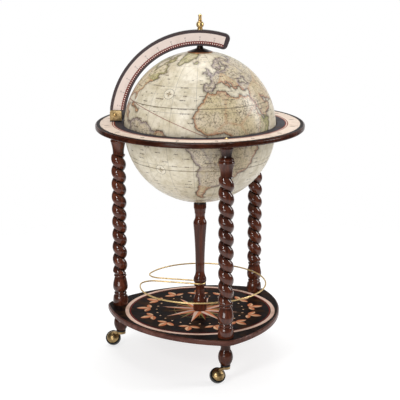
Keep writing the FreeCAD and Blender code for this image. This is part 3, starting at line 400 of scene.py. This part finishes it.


# land outlines by longitude and latitude, drawn in the manner of an old chart
land = {
    "africa": [(-6, 36), (-2, 35), (3, 37), (10, 37), (11, 34), (15, 32), (20, 31), (23, 33), (29, 31), (33, 31),
               (35, 28), (37, 22), (39, 16), (43, 12), (51, 12), (50, 8), (46, 2), (41, -3), (39, -8), (41, -15),
               (36, -19), (35, -24), (32, -28), (28, -33), (20, -35), (18, -32), (15, -26), (12, -18), (14, -11),
               (12, -5), (9, 0), (10, 4), (5, 6), (-2, 5), (-8, 4), (-13, 8), (-17, 13), (-17, 20), (-13, 27),
               (-9, 31)],
    "eurasia": [(-6, 36), (-9, 37), (-9, 43), (-2, 44), (-1, 46), (-5, 48), (2, 51), (5, 53), (9, 54), (8, 57),
                (11, 56), (12, 54), (19, 55), (22, 57), (24, 59), (30, 60), (25, 61), (22, 61), (25, 65), (22, 66),
                (18, 62), (18, 60), (16, 57), (13, 56), (11, 59), (7, 58), (5, 61), (10, 64), (15, 68), (25, 71),
                (32, 70), (41, 67), (36, 65), (44, 67), (54, 69), (68, 69), (73, 72), (80, 73), (95, 76), (104, 78),
                (113, 74), (130, 72), (140, 73), (160, 70), (180, 69), (190, 66), (180, 63), (170, 60), (163, 58),
                (162, 55), (157, 51), (156, 57), (163, 62), (155, 59), (143, 59), (135, 54), (141, 52), (140, 48),
                (135, 43), (130, 42), (129, 36), (126, 35), (125, 39), (121, 40), (118, 38), (122, 37), (119, 35),
                (122, 30), (118, 24), (110, 21), (106, 20), (109, 13), (105, 9), (101, 13), (100, 8), (104, 2),
                (101, 3), (98, 8), (98, 15), (94, 17), (91, 22), (87, 21), (80, 15), (80, 11), (77, 8), (73, 16),
                (73, 20), (69, 22), (66, 25), (57, 26), (51, 28), (48, 30), (50, 26), (54, 24), (56, 25), (59, 22),
                (55, 18), (45, 13), (43, 15), (39, 21), (35, 28), (34, 31), (36, 36), (30, 36), (27, 37), (27, 40),
                (35, 42), (41, 41), (38, 44), (40, 47), (35, 46), (31, 46), (28, 43), (26, 40), (23, 38), (21, 37),
                (19, 42), (14, 45), (13, 44), (18, 40), (16, 38), (15, 40), (10, 44), (4, 43), (0, 39), (-2, 37)],
    "northAmerica": [(-168, 66), (-156, 71), (-141, 70), (-128, 70), (-115, 68), (-100, 68), (-94, 71), (-88, 68),
                     (-82, 67), (-94, 60), (-92, 57), (-82, 55), (-80, 51), (-78, 57), (-78, 62), (-70, 61),
                     (-65, 59), (-60, 54), (-56, 52), (-65, 50), (-65, 47), (-61, 46), (-66, 44), (-70, 42),
                     (-74, 40), (-76, 35), (-81, 31), (-80, 26), (-82, 28), (-84, 30), (-90, 29), (-97, 27),
                     (-97, 21), (-91, 18), (-90, 21), (-87, 21), (-88, 16), (-83, 15), (-83, 10), (-79, 9), (-80, 7),
                     (-86, 11), (-94, 16), (-105, 20), (-110, 25), (-113, 31), (-114, 31), (-110, 23), (-115, 29),
                     (-117, 33), (-121, 35), (-124, 40), (-124, 48), (-130, 54), (-140, 60), (-150, 60), (-158, 56),
                     (-165, 54), (-158, 58), (-162, 60), (-166, 62)],
    "southAmerica": [(-79, 9), (-74, 12), (-66, 12), (-55, 10), (-47, 6), (-40, 4), (-36, 0), (-30, -3), (-24, -5),
                     (-22, -9), (-26, -14), (-27, -19), (-31, -24), (-37, -26), (-40, -30), (-47, -34), (-52, -35),
                     (-53, -38), (-60, -39), (-64, -42), (-66, -46), (-68, -50), (-68, -53), (-65, -55), (-70, -55),
                     (-74, -52), (-75, -46), (-73, -40), (-72, -30), (-70, -20), (-76, -14), (-81, -6), (-80, -2),
                     (-78, 2), (-77, 7)],
    "greenland": [(-73, 78), (-60, 76), (-54, 70), (-52, 64), (-44, 60), (-40, 65), (-22, 70), (-18, 77), (-25, 82),
                  (-45, 83)],
    "baffin": [(-88, 73), (-76, 73), (-62, 66), (-66, 62), (-78, 65), (-72, 68), (-80, 70)],
    "iceland": [(-24, 65), (-18, 63), (-14, 65), (-18, 67)],
    "britain": [(-5, 50), (1, 51), (0, 54), (-2, 57), (-5, 58), (-5, 55), (-3, 54), (-4, 52)],
    "ireland": [(-10, 52), (-6, 52), (-6, 55), (-9, 54)],
    "cuba": [(-85, 22), (-77, 20), (-74, 20), (-80, 23)],
    "hispaniola": [(-74, 18), (-69, 18), (-70, 20), (-73, 20)],
    "madagascar": [(44, -25), (43, -17), (50, -13), (48, -24)],
    "australia": [(114, -22), (122, -18), (129, -15), (136, -12), (137, -16), (141, -17), (142, -11), (146, -19),
                  (153, -26), (150, -37), (143, -39), (138, -35), (131, -32), (124, -33), (115, -35)],
    "newGuinea": [(131, -1), (141, -3), (150, -10), (142, -9), (138, -8), (133, -4)],
    "borneo": [(109, 1), (117, 7), (118, 1), (115, -4), (110, -2)],
    "sumatra": [(95, 5), (104, -3), (106, -6), (101, -3)],
    "java": [(105, -7), (114, -7), (114, -9), (106, -8)],
    "luzon": [(120, 18), (124, 13), (126, 7), (122, 9), (120, 14)],
    "japan": [(130, 31), (136, 34), (141, 36), (141, 41), (145, 44), (140, 45), (139, 38), (132, 34)],
    "newZealand": [(167, -46), (173, -41), (173, -35), (178, -38), (174, -42), (170, -46)],
    "southLand": [(-180, -68), (-150, -70), (-120, -66), (-95, -68), (-75, -63), (-58, -61), (-45, -67), (-20, -70),
                  (10, -65), (40, -68), (70, -63), (100, -66), (130, -62), (155, -67), (180, -68), (180, -90),
                  (-180, -90)],
}
# tint of the lands round each place: 0 orange, 0.2 olive, 0.4 lilac, 0.6 straw, 0.8 rose
tints = [(-5, 25, 0.0), (20, 22, 0.0), (15, 0, 0.0), (30, 10, 0.0), (25, -22, 0.0), (45, 5, 0.2), (0, 47, 0.4),
         (15, 62, 0.4), (12, 43, 0.8), (30, 52, 0.4), (60, 58, 0.4), (95, 62, 0.2), (140, 64, 0.6), (105, 35, 0.0),
         (75, 42, 0.8), (78, 20, 0.6), (48, 25, 0.8), (100, 15, 0.2), (115, 0, 0.8), (135, 36, 0.4), (-45, 72, 0.2),
         (-75, 52, 0.2), (-95, 42, 0.6), (-105, 58, 0.2), (-78, 36, 0.0), (-102, 23, 0.8), (-140, 64, 0.4),
         (-62, -5, 0.4), (-45, -12, 0.8), (-73, -12, 0.4), (-64, -30, 0.4), (-70, -47, 0.8), (134, -25, 0.6),
         (147, -30, 0.2), (0, -80, 0.6), (-90, -75, 0.0), (100, -75, 0.2)]
globe = {"radius": 0.2, "wall": 0.0035, "middle": 0.6304, "partLine": 0.6354, "partGap": 0.0006,
         "lidHole": 0.00424, "bowlHole": 0.0051, "lidTurn": 64.0, "bowlTurn": 6.0,
         "lidRose": (-41.0, 34.0), "bowlRose": (-104.0, -24.0),
         "segments": 360, "rings": 180, "smooth": math.radians(40),
         "seed": 11, "breaks": 3, "uneven": 0.22, "shoreStep": 0.2}


# breaks each straight stretch of a coast into shorter uneven ones
def roughCoast(ring, chance):
    points = np.array(ring, float)
    uneven = globe["uneven"]
    for again in range(globe["breaks"]):
        run = np.roll(points, -1, axis=0) - points
        sideways = np.stack([-run[:, 1], run[:, 0]], axis=1) * chance.uniform(-uneven, uneven, (len(points), 1))
        points = np.stack([points, points + run / 2 + sideways], axis=1).reshape(-1, 2)
    return points


def onBall(lon, lat):
    lon, lat = np.radians(lon), np.radians(lat)
    return np.stack([np.cos(lat) * np.cos(lon), np.cos(lat) * np.sin(lon), np.sin(lat)], axis=1)


def insideRing(lon, lat, ring):
    inside = np.zeros(len(lon), bool)
    for (x1, y1), (x2, y2) in zip(ring, np.roll(ring, -1, axis=0)):
        if y1 != y2:
            crosses = ((y1 > lat) != (y2 > lat)) & (lon < (x2 - x1) * (lat - y1) / (y2 - y1) + x1)
            inside ^= crosses
    return inside


# signed distance from the coast, the land's tint and the distance from a border, in millimetres
def chart(co, turn):
    chance = np.random.RandomState(globe["seed"])
    millimetres = globe["radius"] * 1000
    away = co - np.array([0, 0, globe["middle"]])
    length = np.linalg.norm(away, axis=1)
    lat = np.degrees(np.arcsin(away[:, 2] / length))
    lon = (np.degrees(np.arctan2(away[:, 1], away[:, 0])) + turn + 180) % 360 - 180
    inside = np.zeros(len(lon), bool)
    shore = []
    for name, ring in land.items():
        points = roughCoast(ring, chance) if name != "southLand" else np.array(ring, float)
        near = (lat > points[:, 1].min() - 1) & (lat < points[:, 1].max() + 1)
        for wrap in (0, 360):
            inside[near] |= insideRing(lon[near] + wrap, lat[near], points)
        for (x1, y1), (x2, y2) in zip(points, np.roll(points, -1, axis=0)):
            if min(y1, y2) > -89:  # the pole's own side is no shore
                count = int(math.hypot(x2 - x1, y2 - y1) / globe["shoreStep"]) + 2
                shore.append(onBall(np.linspace(x1, x2, count), np.linspace(y1, y2, count)))
    shore = np.concatenate(shore)
    tree = kdtree.KDTree(len(shore))
    for index, point in enumerate(shore):
        tree.insert(point, index)
    tree.balance()
    unit = onBall(lon, lat)
    coast = np.array([tree.find(p)[2] for p in unit]) * millimetres
    coast = np.where(inside, coast, -coast)
    seeds = onBall(np.array([t[0] for t in tints], float), np.array([t[1] for t in tints], float))
    gaps = np.degrees(np.arccos(np.clip(unit @ seeds.T, -1, 1)))
    order = np.argsort(gaps, axis=1)
    tint = np.array([t[2] for t in tints])[order[:, 0]]
    rows = np.arange(len(gaps))
    border = (gaps[rows, order[:, 1]] - gaps[rows, order[:, 0]]) / 2 * math.radians(1) * millimetres
    return coast, tint, border


def keepValues(mesh, name, values):
    attribute = mesh.attributes.new(name, "FLOAT", "POINT")
    attribute.data.foreach_set("value", values.astype(np.float32))


# directions out of the globe, east and north at a place on it
def rosePlace(rose, turn):
    lon, lat = math.radians(rose[0] - turn), math.radians(rose[1])
    out = (math.cos(lat) * math.cos(lon), math.cos(lat) * math.sin(lon), math.sin(lat))
    north = (-math.sin(lat) * math.cos(lon), -math.sin(lat) * math.sin(lon), math.cos(lat))
    return {"out": out, "east": (-math.sin(lon), math.cos(lon), 0.0), "north": north}


mapLook = {"sea": rgba(229, 220, 200), "deep": rgba(208, 197, 169), "seaStain": rgba(170, 154, 120),
           "paper": rgba(217, 201, 162), "blank": rgba(222, 208, 184), "speckle": rgba(92, 74, 54),
           "ink": rgba(66, 48, 36), "olive": rgba(104, 92, 66), "red": rgba(128, 58, 44),
           "varnish": rgba(170, 142, 100), "coat": 0.40, "coatRough": 0.22,
           "tintFrom": (0.0, 0.1, 0.3, 0.5, 0.7),
           "wash": ((197, 181, 142), (156, 157, 96), (186, 176, 162), (196, 181, 140), (196, 174, 140)),
           "shore": ((178, 120, 80), (117, 116, 50), (142, 126, 128), (186, 140, 88), (172, 120, 96)),
           "rowStep": 3.3, "gridStep": 20.0, "gridFrom": 16.0, "tropic": 23.5, "polar": 66.5,
           "rose": ((8, 0.393, 0.010, 0.0020, "olive", "red"), (4, 0.0, 0.0142, 0.0026, "ink", "paper")),
           "roseRim": 0.0138, "winds": 22.5}


# sea, with level shading lines beside each coast
def seaPaint(tree, coast, lat, cloud, grey):
    sea = mix(tree, ease(tree, cloud, 0.36, 0.66), mapLook["sea"], mapLook["deep"])
    sea = mix(tree, ease(tree, grey, 0.44, 0.70, 0.0, 0.50), sea, mapLook["seaStain"])
    hatch = band(tree, fold(tree, lat, 0.60), 0.0, 0.10, 0.06)
    nearShore = ease(tree, coast, -9.0, -1.0)
    sea = mix(tree, times(tree, hatch, nearShore, 0.65), sea, mapLook["ink"])
    return mix(tree, ease(tree, coast, -5.0, 0.0, 0.0, 0.60), sea, mapLook["olive"])


# land, washed with colour along coasts and borders
def landPaint(tree, place, coast, border, cloud, grey):
    kind = readValue(tree, "tint")
    wash, shore = (ramp(tree, kind, [(start, rgb(*c)) for start, c in zip(mapLook["tintFrom"], mapLook[tones])],
                        "CONSTANT") for tones in ("wash", "shore"))
    ground = mix(tree, ease(tree, grey, 0.35, 0.65, 0.25, 0.85), mapLook["paper"], wash)
    blank = ease(tree, noise(tree, place, 17.0, 5.0, 0.6), 0.46, 0.64, 0.0, 0.75)
    ground = mix(tree, blank, ground, mapLook["blank"])
    speckle = ease(tree, noise(tree, place, 210.0, 4.0, 0.7), 0.51, 0.60)
    speckle = times(tree, speckle, ease(tree, cloud, 0.38, 0.62, 0.25, 0.80))
    ground = mix(tree, speckle, ground, mapLook["speckle"])
    river = band(tree, noise(tree, place, 30.0, 4.0, 0.6, 0.6), 0.50, 0.0070, 0.0030)
    ground = mix(tree, times(tree, river, 0.65), ground, mapLook["ink"])
    ground = mix(tree, ease(tree, border, 0.0, 5.0, 0.40, 0.0), ground, shore)
    return mix(tree, ease(tree, coast, 0.0, 7.5, 0.90, 0.0), ground, shore)


# rows of short broken strokes, in groups
def strokeRows(tree, place, lat, lon):
    step = mapLook["rowStep"]
    row = calc(tree, "ROUND", calc(tree, "DIVIDE", lat, step))
    inRow = band(tree, calc(tree, "MULTIPLY_ADD", row, -step, lat), 0.0, 0.45, 0.12)
    join = tree.nodes.new("ShaderNodeCombineXYZ")
    put(tree, times(tree, lon, 0.13), join.inputs[0])
    put(tree, times(tree, row, 7.3), join.inputs[1])
    along = join.outputs[0]
    runs = ease(tree, noise(tree, along, 1.0, 1.0, 0.4), 0.55, 0.57)
    strokes = noise(tree, stretch(tree, along, (13.0, 1.0, 1.0)), 1.0, 1.0, 0.4)
    strokes = ease(tree, strokes, 0.42, 0.50, 0.25, 1.0)
    groups = ease(tree, noise(tree, place, 15.0, 2.0, 0.5), 0.46, 0.50)
    return times(tree, inRow, runs, strokes, groups)


# a small compass rose in the open sea, with its wind lines
def windRose(tree, place, colour, spots, isLand):
    east = calcDot(tree, place, spots["east"])
    north = calc(tree, "ADD", calcDot(tree, place, spots["north"]), -spots["north"][2] * globe["middle"])
    front = calc(tree, "ADD", calcDot(tree, place, spots["out"]), -spots["out"][2] * globe["middle"])
    facing = calc(tree, "GREATER_THAN", front, 0.0)
    gap, bearing = polarPlace(tree, east, north)
    winds = times(tree, fold(tree, bearing, math.radians(mapLook["winds"])), gap)
    winds = times(tree, band(tree, winds, 0.0, 0.0004, 0.0003), ease(tree, gap, 0.09, 0.13, 0.28, 0.0))
    winds = times(tree, winds, facing, calc(tree, "SUBTRACT", 1.0, isLand))
    colour = mix(tree, winds, colour, mapLook["ink"])
    disc = times(tree, facing, ease(tree, gap, 0.0142, 0.0148, 1.0, 0.0))
    rose = mapLook["sea"]
    for count, turn, length, width, left, right in mapLook["rose"]:
        rose = rosePoints(tree, gap, bearing, rose, count, turn, length, width, mapLook[left], mapLook[right])
    rose = mix(tree, band(tree, gap, mapLook["roseRim"], 0.0005, 0.0002), rose, mapLook["ink"])
    return mix(tree, times(tree, disc, 0.8), colour, rose)


# graticule, tropics, polar circles and the sun's path
def mapLines(tree, colour, lat, lon):
    narrow = calc(tree, "MAXIMUM", calc(tree, "COSINE", calc(tree, "RADIANS", lat)), 0.1)
    width = calc(tree, "DIVIDE", 0.15, narrow)
    fromLine = fold(tree, calc(tree, "ADD", lon, mapLook["gridFrom"]), mapLook["gridStep"])
    lonLine = calc(tree, "LESS_THAN", fromLine, width)
    latLine = band(tree, fold(tree, lat, mapLook["gridStep"]), 0.0, 0.15, 0.05)
    grid = calc(tree, "MAXIMUM", lonLine, latLine)
    colour = mix(tree, times(tree, grid, 0.45), colour, mapLook["ink"])
    height = calc(tree, "ABSOLUTE", lat)
    polar = times(tree, band(tree, height, mapLook["polar"], 0.20, 0.08), 0.7)
    tropic = calc(tree, "MAXIMUM", band(tree, height, mapLook["tropic"], 0.30, 0.08), polar)
    colour = mix(tree, times(tree, tropic, 0.85), colour, mapLook["olive"])
    sunPath = times(tree, calc(tree, "SINE", calc(tree, "RADIANS", lon)), -mapLook["tropic"])
    offPath = calc(tree, "SUBTRACT", lat, sunPath)
    return mix(tree, times(tree, band(tree, offPath, 0.0, 0.28, 0.08), 0.80), colour, mapLook["red"])


# the printed map of one half of the globe
def mapPrint(name, turn, rose):
    mat, tree, shader = newMaterial(name)
    place, x, y, z = objectPlace(tree)
    up = calc(tree, "DIVIDE", calc(tree, "SUBTRACT", z, globe["middle"]), globe["radius"])
    lat = calc(tree, "DEGREES", calc(tree, "ARCSINE", up))
    lon = calc(tree, "ADD", calc(tree, "DEGREES", polarPlace(tree, x, y)[1]), turn)
    # coasts and borders, frayed by a fine noise
    fray = noise(tree, place, 130.0, 6.0, 0.75)
    coast = calc(tree, "ADD", readValue(tree, "coast"), calc(tree, "MULTIPLY_ADD", fray, 14.0, -7.0))
    border = calc(tree, "ADD", readValue(tree, "border"), calc(tree, "MULTIPLY_ADD", fray, 12.0, -6.0))
    isLand = ease(tree, coast, -0.2, 0.2)
    cloud = noise(tree, place, 26.0, 6.0, 0.68)
    grey = noise(tree, place, 75.0, 6.0, 0.7)
    sea = seaPaint(tree, coast, lat, cloud, grey)
    colour = mix(tree, isLand, sea, landPaint(tree, place, coast, border, cloud, grey))
    colour = mix(tree, times(tree, strokeRows(tree, place, lat, lon), 0.72), colour, mapLook["ink"])
    colour = mix(tree, times(tree, band(tree, coast, 0.0, 0.8, 0.4), 0.80), colour, mapLook["ink"])
    colour = windRose(tree, place, colour, rosePlace(rose, turn), isLand)
    colour = mapLines(tree, colour, lat, lon)
    # old varnish, browner in patches
    stain = noise(tree, place, 6.0, 6.0, 0.65)
    colour = mix(tree, ease(tree, stain, 0.46, 0.78, 0.0, 0.24), colour, mapLook["varnish"])
    put(tree, colour, shader.inputs["Base Color"])
    put(tree, ease(tree, stain, 0.3, 0.7, 0.48, 0.60), shader.inputs["Roughness"])
    shader.inputs["Coat Weight"].default_value = mapLook["coat"]
    shader.inputs["Coat Roughness"].default_value = mapLook["coatRough"]
    bump(tree, shader, noise(tree, place, 500.0, 3.0, 0.6), 0.00005, 0.3)
    return mat


# half of the globe: a ball cut at the part line and at its pole, then given its wall
def globeHalf(name, level, side, hole, turn, rose, body, node):
    bpy.ops.object.select_all(action="DESELECT")
    bpy.ops.mesh.primitive_uv_sphere_add(segments=globe["segments"], ring_count=globe["rings"],
                                         radius=globe["radius"], location=(0, 0, globe["middle"]))
    half = bpy.context.object
    half.name = name
    bpy.ops.object.transform_apply(location=True, rotation=True, scale=True)
    bpy.ops.object.mode_set(mode="EDIT")
    bpy.ops.mesh.select_all(action="SELECT")
    bpy.ops.mesh.bisect(plane_co=(0, 0, level), plane_no=(0, 0, side), clear_inner=True)
    pole = globe["middle"] + side * math.sqrt(globe["radius"] ** 2 - hole ** 2)
    bpy.ops.mesh.select_all(action="SELECT")
    bpy.ops.mesh.bisect(plane_co=(0, 0, pole), plane_no=(0, 0, side), clear_outer=True)
    bpy.ops.mesh.select_all(action="SELECT")
    bpy.ops.mesh.normals_make_consistent(inside=False)
    bpy.ops.object.mode_set(mode="OBJECT")
    half.data.materials.append(mapPrint(name + " map", turn, rose))
    half.data.materials.append(lining)
    bpy.ops.object.modifier_add(type="SOLIDIFY")
    wall = half.modifiers[-1]
    wall.thickness = globe["wall"]
    wall.offset = -1
    wall.material_offset = 1
    wall.material_offset_rim = 1
    bpy.ops.object.modifier_apply(modifier=wall.name)
    bpy.ops.object.shade_smooth_by_angle(angle=globe["smooth"])
    co = np.empty(len(half.data.vertices) * 3)
    half.data.vertices.foreach_get("co", co)
    coast, tint, border = chart(co.reshape(-1, 3), turn)
    keepValues(half.data, "coast", coast)
    keepValues(half.data, "tint", tint)
    keepValues(half.data, "border", border)
    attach(half, body)
    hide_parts(node)
    return half


def dress(mat, *names):
    for name in names:
        for slot in nodes[name].material_slots:
            slot.material = mat


redTones = ((38, 15, 9), (68, 32, 20), (92, 46, 29), (120, 64, 42))
darkTones = ((28, 10, 6), (53, 24, 14), (72, 35, 21), (94, 49, 32))
# shelf edge tones: a lighter, greyer copy of the red wood, with painted light and a painted reflection of the white
# floor
litEdgeTones = ((58, 31, 25), (82, 50, 42), (98, 63, 54), (118, 81, 71))
upright = (1.0, 1.0, 0.10)  # grain along z
level = (0.10, 1.0, 1.0)  # grain along x
woodFlat = mahogany("mahogany, flat", level, redTones, 0.5)
woodRim = mahogany("mahogany, ring", level, darkTones, 0.2)
woodEdgeLit = mahogany("mahogany, shelf edge, painted light", (0.12, 1.0, 1.0), litEdgeTones, 0.2)
woodColumn = mahogany("mahogany, column", upright, redTones, 0.55)
woodFeet = mahogany("mahogany, feet", upright, darkTones, 0.4)
woodBlack = plain("black stained wood", rgb(40, 24, 20), rgb(24, 15, 13), 0.35, 60.0, 0.00004)
lining = plain("bowl lining", rgb(150, 104, 66), rgb(118, 76, 46), 0.5, 30.0, 0.00003)
brass = metal("polished brass", rgb(232, 200, 140), rgb(190, 152, 94), 0.26, 0.12, 0.85)
gilt = metal("gilt wire", rgb(232, 202, 142), rgb(206, 170, 108), 0.30, 0.10, 0.6)
oldBrass = metal("antique brass", rgb(172, 146, 102), rgb(86, 68, 46), 0.30, 0.12)
paleBrass = metal("pale brass strap", rgb(164, 142, 102), rgb(120, 100, 68), 0.34, 0.12)
steel = metal("plain steel", rgb(186, 186, 188), rgb(140, 140, 144), 0.26, 0.12)
blackMetal = plain("black lacquered metal", rgb(22, 21, 22), rgb(12, 12, 13), 0.16, 80.0, 0.00002, 0.25)
blackPlastic = plain("black plastic", rgb(24, 24, 25), rgb(15, 15, 16), 0.32, 90.0, 0.00003)
rubber = plain("black rubber", rgb(13, 13, 13), rgb(7, 7, 7), 0.14, 120.0, 0.00003, 0.35)
print("materials made")

legs = {"circle": 0.225, "gloss": 0.9, "turns": {"1": 180, "2": 300, "3": 60}}
for n, turn in legs["turns"].items():
    turn = math.radians(turn)
    middle = (legs["circle"] * math.cos(turn), legs["circle"] * math.sin(turn))
    dress(mahogany("mahogany, leg " + n, upright, redTones, legs["gloss"], middle), "leg_" + n)
    dress(woodFeet, "foot_" + n)
    dress(oldBrass, "caster_" + n + "_hood")
    dress(steel, "caster_" + n + "_axle")
    dress(blackPlastic, "caster_" + n + "_hub")
    dress(rubber, "caster_" + n + "_tyre")
dress(woodColumn, "column")
dress(woodFlat, "bar_tray", "bottle_floor", "bowl_hoop", "lid_hoop")
dress(woodRim, "horizon_ring")
# the shelf board wears the lighter edge wood, with painted light
dress(woodEdgeLit, "shelf_board")
dress(woodBlack, "bowl_seat", "meridian_arc")
dress(ringPrint(), "horizon_sheet")
dress(meridianPrint(), "meridian_sheet_front", "meridian_sheet_back")
dress(shelfPrint(), "shelf_sheet")
dress(gilt, "bottle_rail")
dress(brass, "pole_finial", "pole_pin", "ring_screws", "hinge_pin")
dress(paleBrass, "hinge_bracket")
dress(capMetal(), "pole_cap")
dress(steel, "leg_studs", "column_screw", "column_washer", "bowl_screw", "bowl_washer", "bracket_screws",
      "pole_nut", "pole_washer")
dress(blackMetal, "caster_sockets")
dress(blackPlastic, "hinge_pad")
print("CAD nodes dressed")

lid = globeHalf("globe_upper_half", globe["partLine"] + globe["partGap"], 1, globe["lidHole"],
                globe["lidTurn"], globe["lidRose"], "globe_top", "upper_shell")
bowl = globeHalf("globe_lower_half", globe["partLine"], -1, globe["bowlHole"],
                 globe["bowlTurn"], globe["bowlRose"], "stand", "lower_bowl")
print("globe halves:", len(lid.data.polygons), len(bowl.data.polygons), "faces")

# stage: white floor that fades into the white backdrop
floorLook = {"radius": 1.6, "sides": 96, "fadeFrom": 0.7, "fadeTo": 1.5, "grey": (0.40, 0.40, 0.40, 1.0),
             "rough": 0.6, "glow": 0.70, "shine": 0.2}


def floorPaint():
    mat, tree, shader = newMaterial("studio floor")
    x, y = objectPlace(tree)[1:3]
    reach = polarPlace(tree, x, y)[0]
    shader.inputs["Base Color"].default_value = floorLook["grey"]
    shader.inputs["Roughness"].default_value = floorLook["rough"]
    shader.inputs["Emission Color"].default_value = (1.0, 1.0, 1.0, 1.0)
    shader.inputs["Emission Strength"].default_value = floorLook["glow"]
    shader.inputs["Specular IOR Level"].default_value = floorLook["shine"]
    put(tree, ease(tree, reach, floorLook["fadeFrom"], floorLook["fadeTo"], 1.0, 0.0), shader.inputs["Alpha"])
    return mat


bpy.ops.object.select_all(action="DESELECT")
bpy.ops.mesh.primitive_circle_add(vertices=floorLook["sides"], radius=floorLook["radius"], fill_type="NGON",
                                  location=(0, 0, 0))
floor = bpy.context.object
floor.name = "studio_floor"
floor.data.materials.append(floorPaint())


def softbox(name, place, aim, wide, high, power):
    bpy.ops.object.light_add(type="AREA", location=place)
    lamp = bpy.context.object
    lamp.name = name
    lamp.data.shape = "RECTANGLE"
    lamp.data.size = wide
    lamp.data.size_y = high
    lamp.data.energy = power
    away = [a - p for a, p in zip(aim, place)]
    flat = math.hypot(away[0], away[1])
    lamp.rotation_euler = (math.pi / 2 + math.atan2(away[2], flat), 0, math.atan2(-away[0], away[1]))


softbox("key softbox", place=(-0.9, -2.9, 1.9), aim=(0, 0, 0.5), wide=0.6, high=1.2, power=44)
softbox("right softbox", place=(1.95, 0.6, 1.35), aim=(0, 0, 0.6), wide=0.5, high=1.3, power=25)
softbox("top softbox", place=(-0.3, 0.5, 3.2), aim=(0, 0, 0.5), wide=1.8, high=1.8, power=47)
softbox("low softbox", place=(-0.6, -3.0, 0.3), aim=(0, 0, 0.5), wide=1.6, high=0.5, power=20)

# the camera sees white; reflections meet the white backdrop behind the object and the dark room in front of it
view = {"turn": math.radians(13.0), "away": 3.4408, "height": 1.3035, "down": math.radians(14.228), "lens": 119.6,
        "sensor": 36, "fill": 0.30, "room": 0.12, "backdropFrom": 0.6, "backdropFull": 0.95}
world = bpy.data.worlds.new("studio")
bpy.context.scene.world = world
world.use_nodes = True
sky = world.node_tree
studio = sky.nodes["Background"]
studio.inputs["Color"].default_value = (1.0, 1.0, 1.0, 1.0)
rays = sky.nodes.new("ShaderNodeLightPath")
way = sky.nodes.new("ShaderNodeTexCoord").outputs["Generated"]
behind = calcDot(sky, way, (-math.sin(view["turn"]), math.cos(view["turn"]), 0.0))
room = ease(sky, behind, view["backdropFrom"], view["backdropFull"], view["room"], 1.0)
mirrored = calc(sky, "MAXIMUM", rays.outputs["Is Glossy Ray"], rays.outputs["Is Transmission Ray"])
strength = calc(sky, "MULTIPLY_ADD", calc(sky, "SUBTRACT", room, view["fill"]), mirrored, view["fill"])
put(sky, calc(sky, "MAXIMUM", strength, rays.outputs["Is Camera Ray"]), studio.inputs["Strength"])

stand = (view["away"] * math.sin(view["turn"]), -view["away"] * math.cos(view["turn"]), view["height"])
bpy.ops.object.camera_add(location=stand, rotation=(math.pi / 2 - view["down"], 0, view["turn"]))
camera = bpy.context.object
camera.data.lens = view["lens"]
camera.data.sensor_width = view["sensor"]
bpy.context.scene.camera = camera
bpy.context.scene.view_settings.view_transform = "Standard"
print("stage, light and camera set")
